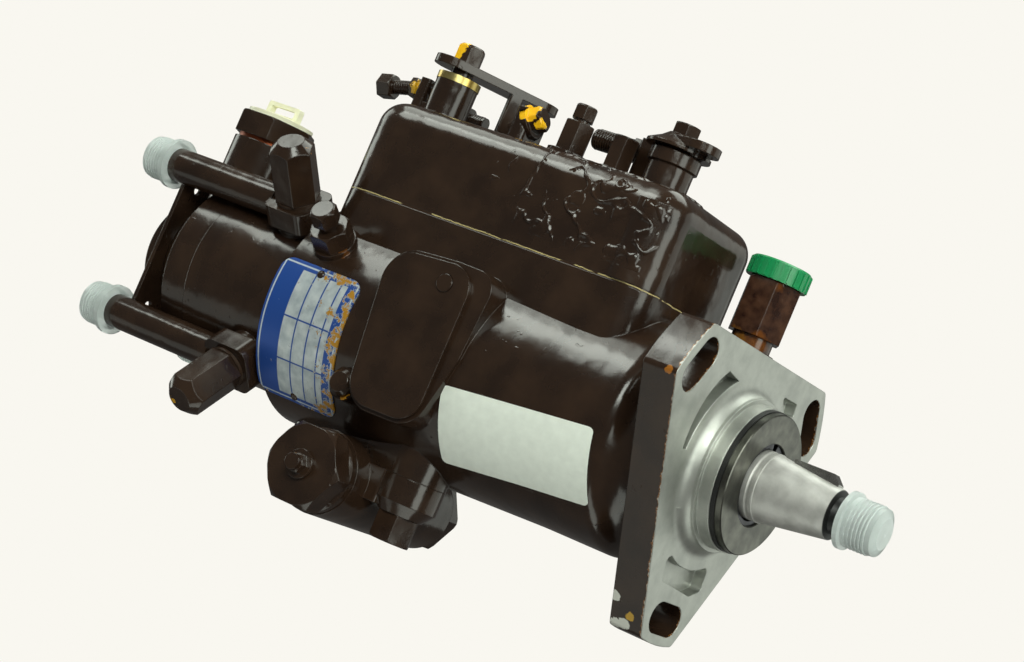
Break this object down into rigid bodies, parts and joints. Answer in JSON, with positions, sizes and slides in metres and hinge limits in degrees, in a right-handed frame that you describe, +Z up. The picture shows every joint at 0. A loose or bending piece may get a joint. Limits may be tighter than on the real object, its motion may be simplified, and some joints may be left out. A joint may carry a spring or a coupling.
{
  "type": "diesel fuel injection pump",
  "caption": "Distributor-type fuel injection pump: flanged housing with tapered drive shaft, governor cover with levers, delivery head and timing advance.",
  "frame": {"origin": "on the drive axis, in the flange's mounting face", "axes": "+X along the drive axis towards the shaft end, +Z up to the governor cover, -Y towards the side with the inspection cover"},
  "size_m": [0.3012, 0.1098, 0.1706],
  "materials": {
    "pump_housing": "gloss paint over cast aluminium, bare machined flange face",
    "governor_cover": "gloss paint over cast aluminium",
    "cover_gasket": "pressed fibre",
    "cover_nuts": "gloss",
    "vent_screw": "gloss",
    "inspection_cover": "gloss",
    "body_screws": "gloss",
    "nameplate": "printed sheet, worn",
    "head_locking_bolt": "gloss",
    "bleed_screw": "gloss",
    "hydraulic_head": "gloss paint over steel",
    "end_plate": "gloss",
    "transfer_pump_liner": "ground",
    "inlet_connection": "gloss",
    "sealing_washers": "copper",
    "inlet_plug": "translucent cream",
    "outlet_banjos": "gloss",
    "banjo_bolts": "gloss",
    "outlet_tie_plate": "gloss",
    "outlet_caps": "translucent",
    "advance_housing": "gloss paint over cast aluminium",
    "advance_spring_cap": "gloss",
    "advance_end_plug": "gloss",
    "advance_adjuster": "gloss",
    "advance_fixings": "gloss",
    "pilot_disc": "ground, oiled",
    "shaft_seals": "moulded",
    "shaft_circlip": "spring steel",
    "control_bracket": "pressed sheet",
    "stop_screws": "gloss",
    "stop_nut": "gloss with yellow seal paint",
    "adjusting_sleeve": "gloss",
    "back_leak_connector": "thin translucent paint over steel",
    "back_leak_cap": "moulded",
    "throttle_seal_ring": "turned",
    "drive_shaft": "ground",
    "shaft_key": "ground",
    "shaft_cap": "translucent",
    "weight_retainer": "pressed",
    "distributor_rotor": "lapped",
    "transfer_pump_rotor": "ground",
    "thrust_sleeve": "ground",
    "governor_arm": "pressed",
    "linkage_rod": "drawn wire",
    "metering_valve": "lapped",
    "throttle_shaft": "turned",
    "throttle_lever": "gloss",
    "throttle_nut": "gloss with yellow seal paint",
    "shut_off_shaft": "turned",
    "shut_off_lever": "gloss",
    "shut_off_nut": "gloss",
    "cam_ring": "hardened",
    "advance_piston": "ground",
    "pumping_plunger_1": "lapped",
    "pumping_plunger_2": "lapped",
    "regulating_piston": "lapped",
    "governor_weight_1": "machined",
    "governor_weight_2": "machined",
    "governor_weight_3": "machined",
    "governor_weight_4": "machined"
  },
  "bodies": {
    "pump_body": {"pump_housing": "pump_housing", "governor_cover": "governor_cover", "cover_gasket": "cover_gasket", "cover_nuts": "cover_nuts", "vent_screw": "vent_screw", "inspection_cover": "inspection_cover", "body_screws": "body_screws", "nameplate": "nameplate", "head_locking_bolt": "head_locking_bolt", "bleed_screw": "bleed_screw", "hydraulic_head": "hydraulic_head", "end_plate": "end_plate", "transfer_pump_liner": "transfer_pump_liner", "inlet_connection": "inlet_connection", "sealing_washers": "sealing_washers", "inlet_plug": "inlet_plug", "outlet_banjos": "outlet_banjos", "banjo_bolts": "banjo_bolts", "outlet_tie_plate": "outlet_tie_plate", "outlet_caps": "outlet_caps", "advance_housing": "advance_housing", "advance_spring_cap": "advance_spring_cap", "advance_end_plug": "advance_end_plug", "advance_adjuster": "advance_adjuster", "advance_fixings": "advance_fixings", "pilot_disc": "pilot_disc", "shaft_seals": "shaft_seals", "shaft_circlip": "shaft_circlip", "control_bracket": "control_bracket", "stop_screws": "stop_screws", "stop_nut": "stop_nut", "adjusting_sleeve": "adjusting_sleeve", "back_leak_connector": "back_leak_connector", "back_leak_cap": "back_leak_cap", "throttle_seal_ring": "throttle_seal_ring"},
    "drive": {"drive_shaft": "drive_shaft", "shaft_key": "shaft_key", "shaft_cap": "shaft_cap", "weight_retainer": "weight_retainer", "distributor_rotor": "distributor_rotor", "transfer_pump_rotor": "transfer_pump_rotor"},
    "weight_1": {"governor_weight_1": "governor_weight_1"},
    "weight_2": {"governor_weight_2": "governor_weight_2"},
    "weight_3": {"governor_weight_3": "governor_weight_3"},
    "weight_4": {"governor_weight_4": "governor_weight_4"},
    "sleeve": {"thrust_sleeve": "thrust_sleeve"},
    "arm": {"governor_arm": "governor_arm"},
    "link": {"linkage_rod": "linkage_rod"},
    "valve": {"metering_valve": "metering_valve"},
    "throttle": {"throttle_shaft": "throttle_shaft", "throttle_lever": "throttle_lever", "throttle_nut": "throttle_nut"},
    "shut_off": {"shut_off_shaft": "shut_off_shaft", "shut_off_lever": "shut_off_lever", "shut_off_nut": "shut_off_nut"},
    "cam": {"cam_ring": "cam_ring"},
    "piston": {"advance_piston": "advance_piston"},
    "plunger_1": {"pumping_plunger_1": "pumping_plunger_1"},
    "plunger_2": {"pumping_plunger_2": "pumping_plunger_2"},
    "regulator": {"regulating_piston": "regulating_piston"}
  },
  "joints": [
    {"name": "drive_turn", "type": "hinge", "parent": "pump_body", "child": "drive", "pos_m": [0, 0, 0], "axis": [1, 0, 0], "continuous": true},
    {"name": "sleeve_slide", "type": "slide", "parent": "drive", "child": "sleeve", "axis": [-1, 0, 0], "range_m": [0, 0.00267]},
    {"name": "weight_1_swing", "type": "hinge", "parent": "drive", "child": "weight_1", "pos_m": [-0.053, 0.024, 0], "axis": [0, 0, -1], "range_deg": [0, 15]},
    {"name": "weight_2_swing", "type": "hinge", "parent": "drive", "child": "weight_2", "pos_m": [-0.053, 0, 0.024], "axis": [0, 1, 0], "range_deg": [0, 15]},
    {"name": "weight_3_swing", "type": "hinge", "parent": "drive", "child": "weight_3", "pos_m": [-0.053, -0.024, 0], "axis": [0, 0, 1], "range_deg": [0, 15]},
    {"name": "weight_4_swing", "type": "hinge", "parent": "drive", "child": "weight_4", "pos_m": [-0.053, 0, -0.024], "axis": [0, -1, 0], "range_deg": [0, 15]},
    {"name": "arm_swing", "type": "hinge", "parent": "pump_body", "child": "arm", "pos_m": [-0.08475, 0, 0.034], "axis": [0, 1, 0], "range_deg": [0, 4.6]},
    {"name": "link_swing", "type": "hinge", "parent": "arm", "child": "link", "pos_m": [-0.08475, 0.00625, 0.052], "axis": [0, 1, 0], "range_deg": [-4.6, 0]},
    {"name": "valve_turn", "type": "hinge", "parent": "pump_body", "child": "valve", "pos_m": [-0.146, 0, 0.03], "axis": [0, 0, -1], "range_deg": [0, 8.2]},
    {"name": "throttle_turn", "type": "hinge", "parent": "pump_body", "child": "throttle", "pos_m": [-0.155, 0, 0.09], "axis": [0, 0, 1], "range_deg": [-35, 12]},
    {"name": "shut_off_turn", "type": "hinge", "parent": "pump_body", "child": "shut_off", "pos_m": [-0.0615, 0, 0.09], "axis": [0, 0, 1], "range_deg": [0, 45]},
    {"name": "cam_turn", "type": "hinge", "parent": "pump_body", "child": "cam", "pos_m": [-0.1215, 0, 0], "axis": [1, 0, 0], "range_deg": [0, 6]},
    {"name": "piston_slide", "type": "slide", "parent": "pump_body", "child": "piston", "axis": [0, 1, 0], "range_m": [0, 0.0054]},
    {"name": "plunger_1_slide", "type": "slide", "parent": "drive", "child": "plunger_1", "axis": [0, 0, 1], "range_m": [0, 0.0022]},
    {"name": "plunger_2_slide", "type": "slide", "parent": "drive", "child": "plunger_2", "axis": [0, 0, -1], "range_m": [0, 0.0022]},
    {"name": "regulator_slide", "type": "slide", "parent": "pump_body", "child": "regulator", "axis": [0, 0, 1], "range_m": [0, 0.004]}
  ],
  "couplings": [
    {"joint": "weight_1_swing", "follows": "sleeve_slide", "rad_per_m": 98},
    {"joint": "weight_2_swing", "follows": "sleeve_slide", "rad_per_m": 98},
    {"joint": "weight_3_swing", "follows": "sleeve_slide", "rad_per_m": 98},
    {"joint": "weight_4_swing", "follows": "sleeve_slide", "rad_per_m": 98},
    {"joint": "arm_swing", "follows": "sleeve_slide", "rad_per_m": 29.41},
    {"joint": "link_swing", "follows": "sleeve_slide", "rad_per_m": -29.41},
    {"joint": "valve_turn", "follows": "sleeve_slide", "rad_per_m": 52.94},
    {"joint": "piston_slide", "follows": "cam_turn", "m_per_rad": 0.0506},
    {"joint": "plunger_2_slide", "follows": "plunger_1_slide", "ratio": 1}
  ]
}
